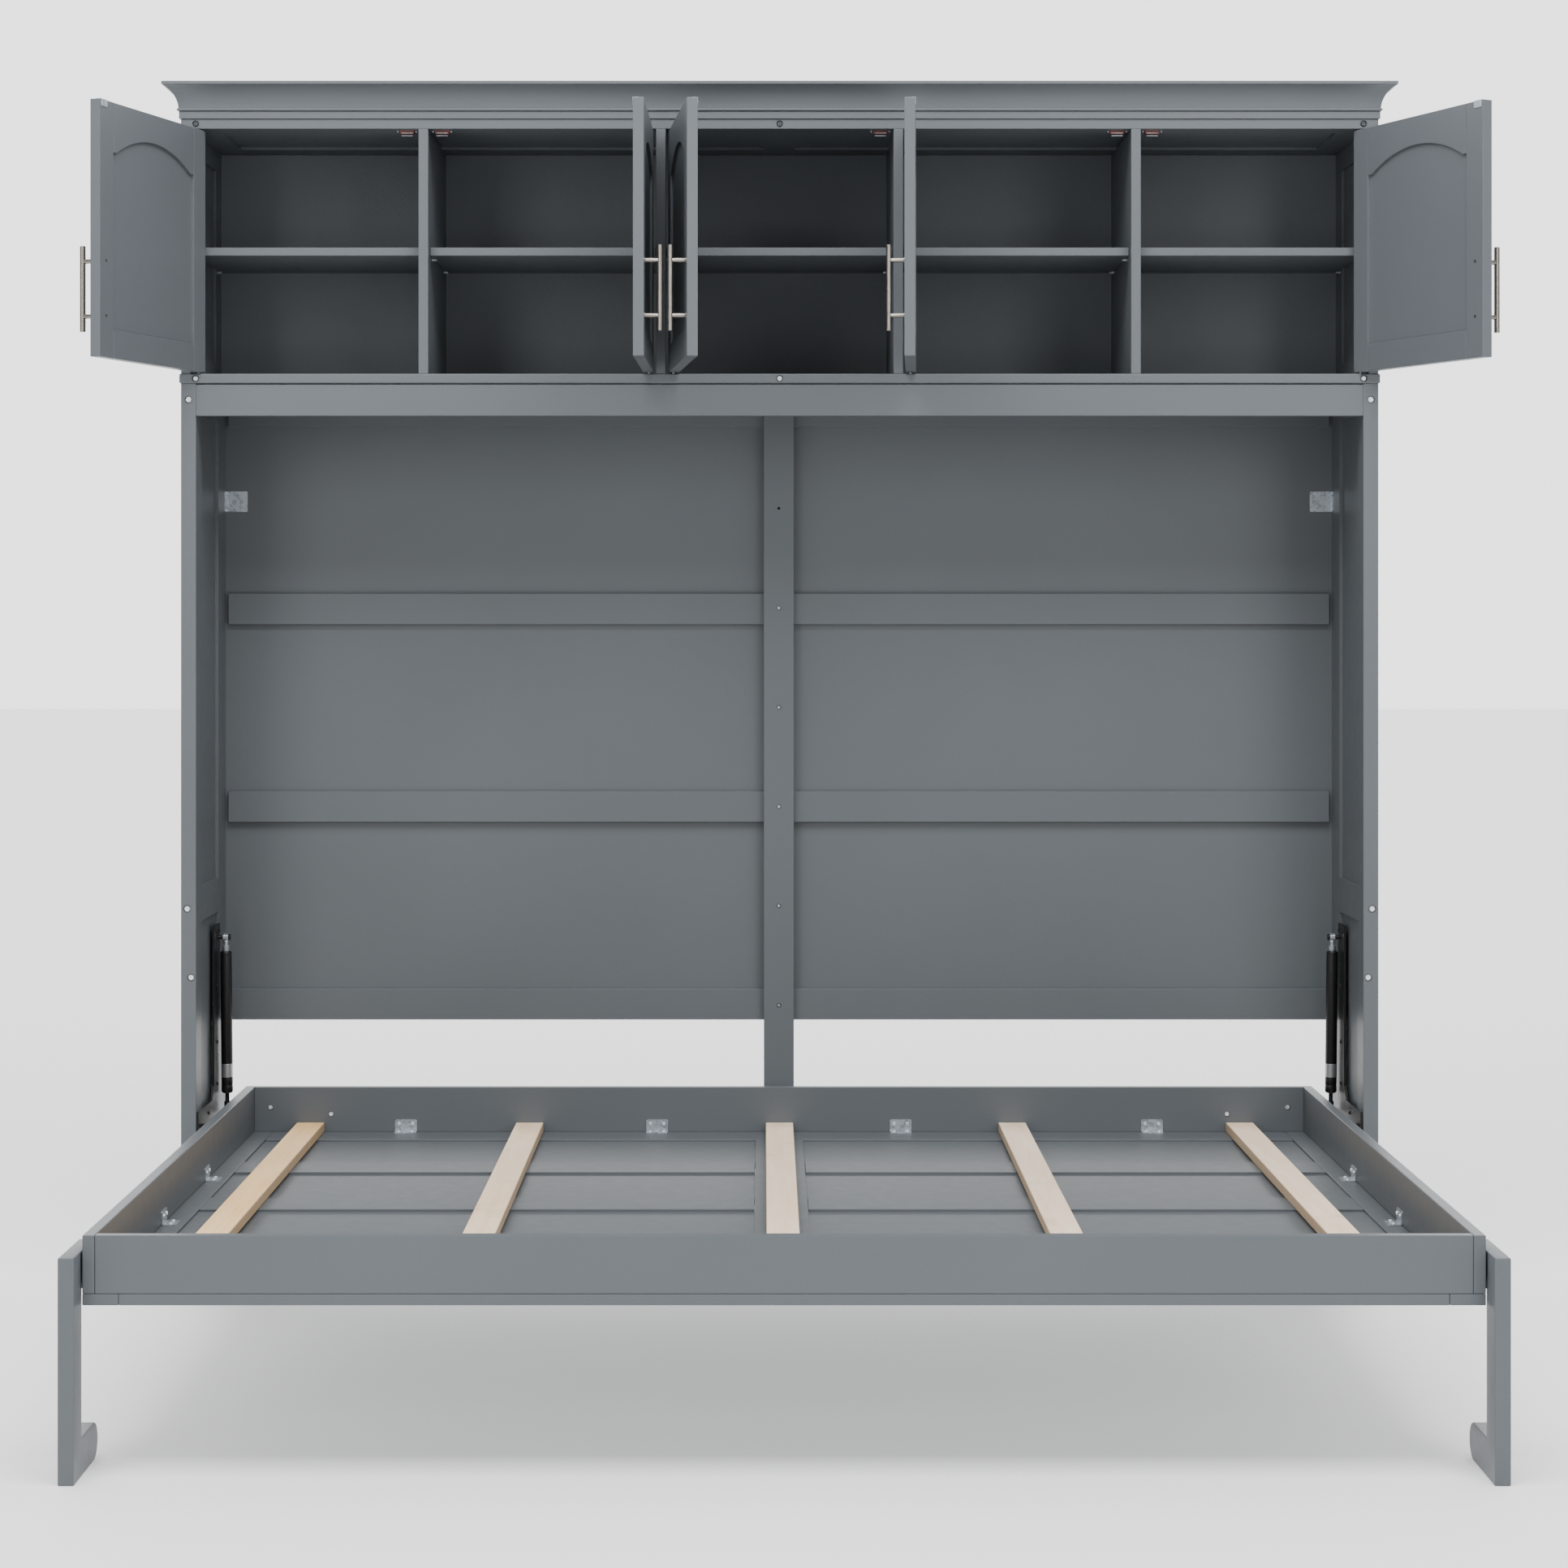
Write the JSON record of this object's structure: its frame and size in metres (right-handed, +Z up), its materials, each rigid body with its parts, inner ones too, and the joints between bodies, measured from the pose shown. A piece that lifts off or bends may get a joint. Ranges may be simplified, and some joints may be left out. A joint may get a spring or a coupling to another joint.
{
  "type": "wall bed",
  "caption": "Horizontal wall bed: a framed bed with slats and swinging legs folds on gas springs into a housing under an arched-door cabinet.",
  "frame": {"origin": "middle of the object's footprint on the floor, with the bed down and the doors open", "axes": "+X along the wall to the right as seen from the room, +Y towards the wall, +Z up"},
  "size_m": [2.483, 1.679, 2.252],
  "materials": {
    "paint": "satin grey paint on wood boards",
    "birch": "bare birch plywood",
    "zinc": "zinc plated",
    "nickel": "brushed nickel",
    "black_steel": "semi-gloss black",
    "rod_steel": "dark polished steel",
    "catch_plastic": "red-brown moulded plastic"
  },
  "bodies": {
    "cabinet": {"back_rails": "paint", "cabinet_bolts": "zinc", "centre_stile": "paint", "corner_plates": "zinc", "crown_base_strip": "paint", "crown_moulding": "paint", "door_hinge_pins": "zinc", "housing_back_left": "paint", "housing_back_right": "paint", "housing_side_left": "paint", "housing_side_right": "paint", "magnetic_catches": "catch_plastic", "mechanism_plate_left": "black_steel", "mechanism_plate_right": "black_steel", "partition_1": "paint", "partition_2": "paint", "partition_3": "paint", "partition_4": "paint", "shelf_pins": "zinc", "shelves": "paint", "stile_screws": "zinc", "upper_back_panel": "paint", "upper_bottom_panel": "paint", "upper_side_left": "paint", "upper_side_right": "paint", "upper_top_panel": "paint", "valance": "paint"},
    "bed": {"bed_bolts": "zinc", "bed_brackets": "zinc", "bed_pivot_left": "black_steel", "bed_pivot_right": "black_steel", "bed_rail_front": "paint", "bed_rail_left": "paint", "bed_rail_rear": "paint", "bed_rail_right": "paint", "bed_slats": "birch", "face_board_frame": "paint", "face_board_panels": "paint", "leg_pivot_bolts": "black_steel"},
    "leg_left": {"leg_left": "paint"},
    "leg_right": {"leg_right": "paint"},
    "spring_cylinder_left": {"spring_cylinder_left": "black_steel"},
    "spring_cylinder_right": {"spring_cylinder_right": "black_steel"},
    "spring_rod_left": {"spring_rod_left": "rod_steel"},
    "spring_rod_right": {"spring_rod_right": "rod_steel"},
    "door_1": {"door_1_frame": "paint", "door_1_panel": "paint", "door_1_fittings": "nickel"},
    "door_2": {"door_2_frame": "paint", "door_2_panel": "paint", "door_2_fittings": "nickel"},
    "door_3": {"door_3_frame": "paint", "door_3_panel": "paint", "door_3_fittings": "nickel"},
    "door_4": {"door_4_frame": "paint", "door_4_panel": "paint", "door_4_fittings": "nickel"},
    "door_5": {"door_5_frame": "paint", "door_5_panel": "paint", "door_5_fittings": "nickel"}
  },
  "joints": [
    {"name": "bed_hinge", "type": "hinge", "parent": "cabinet", "child": "bed", "pos_m": [-0.01784, 0.5325, 0.305], "axis": [-1, 0, 0], "range_deg": [0, 90]},
    {"name": "leg_left_hinge", "type": "hinge", "parent": "bed", "child": "leg_left", "pos_m": [-1.06384, -0.691, 0.3035], "axis": [-1, 0, 0], "range_deg": [-90, 0]},
    {"name": "leg_right_hinge", "type": "hinge", "parent": "bed", "child": "leg_right", "pos_m": [1.02816, -0.691, 0.3035], "axis": [-1, 0, 0], "range_deg": [-90, 0]},
    {"name": "spring_left_swing", "type": "hinge", "parent": "cabinet", "child": "spring_cylinder_left", "pos_m": [-1.07884, 0.7075, 0.651], "axis": [-1, 0, 0], "range_deg": [0, 19.94]},
    {"name": "spring_left_stroke", "type": "slide", "parent": "spring_cylinder_left", "child": "spring_rod_left", "axis": [0, 0.0603, -0.9982], "range_m": [0, 0.23266]},
    {"name": "spring_right_swing", "type": "hinge", "parent": "cabinet", "child": "spring_cylinder_right", "pos_m": [1.04316, 0.7075, 0.651], "axis": [-1, 0, 0], "range_deg": [0, 19.94]},
    {"name": "spring_right_stroke", "type": "slide", "parent": "spring_cylinder_right", "child": "spring_rod_right", "axis": [0, 0.0603, -0.9982], "range_m": [0, 0.23266]},
    {"name": "door_1_hinge", "type": "hinge", "parent": "cabinet", "child": "door_1", "pos_m": [-1.09384, 0.488, 1.9415], "axis": [0, 0, 1], "range_deg": [-3.4, 106.6]},
    {"name": "door_2_hinge", "type": "hinge", "parent": "cabinet", "child": "door_2", "pos_m": [-0.26004, 0.488, 1.9415], "axis": [0, 0, -1], "range_deg": [0, 89.5]},
    {"name": "door_3_hinge", "type": "hinge", "parent": "cabinet", "child": "door_3", "pos_m": [-0.21504, 0.488, 1.9415], "axis": [0, 0, 1], "range_deg": [0, 83.9]},
    {"name": "door_4_hinge", "type": "hinge", "parent": "cabinet", "child": "door_4", "pos_m": [0.22436, 0.488, 1.9415], "axis": [0, 0, 1], "range_deg": [-2.2, 92.8]},
    {"name": "door_5_hinge", "type": "hinge", "parent": "cabinet", "child": "door_5", "pos_m": [1.05816, 0.488, 1.9415], "axis": [0, 0, -1], "range_deg": [0, 112.5]}
  ],
  "couplings": [
    {"joint": "leg_left_hinge", "follows": "bed_hinge", "ratio": -1},
    {"joint": "spring_left_swing", "follows": "bed_hinge", "ratio": 0.22148},
    {"joint": "spring_left_stroke", "follows": "bed_hinge", "m_per_rad": 0.14805},
    {"joint": "leg_right_hinge", "follows": "bed_hinge", "ratio": -1},
    {"joint": "spring_right_swing", "follows": "bed_hinge", "ratio": 0.22148},
    {"joint": "spring_right_stroke", "follows": "bed_hinge", "m_per_rad": 0.14805}
  ]
}
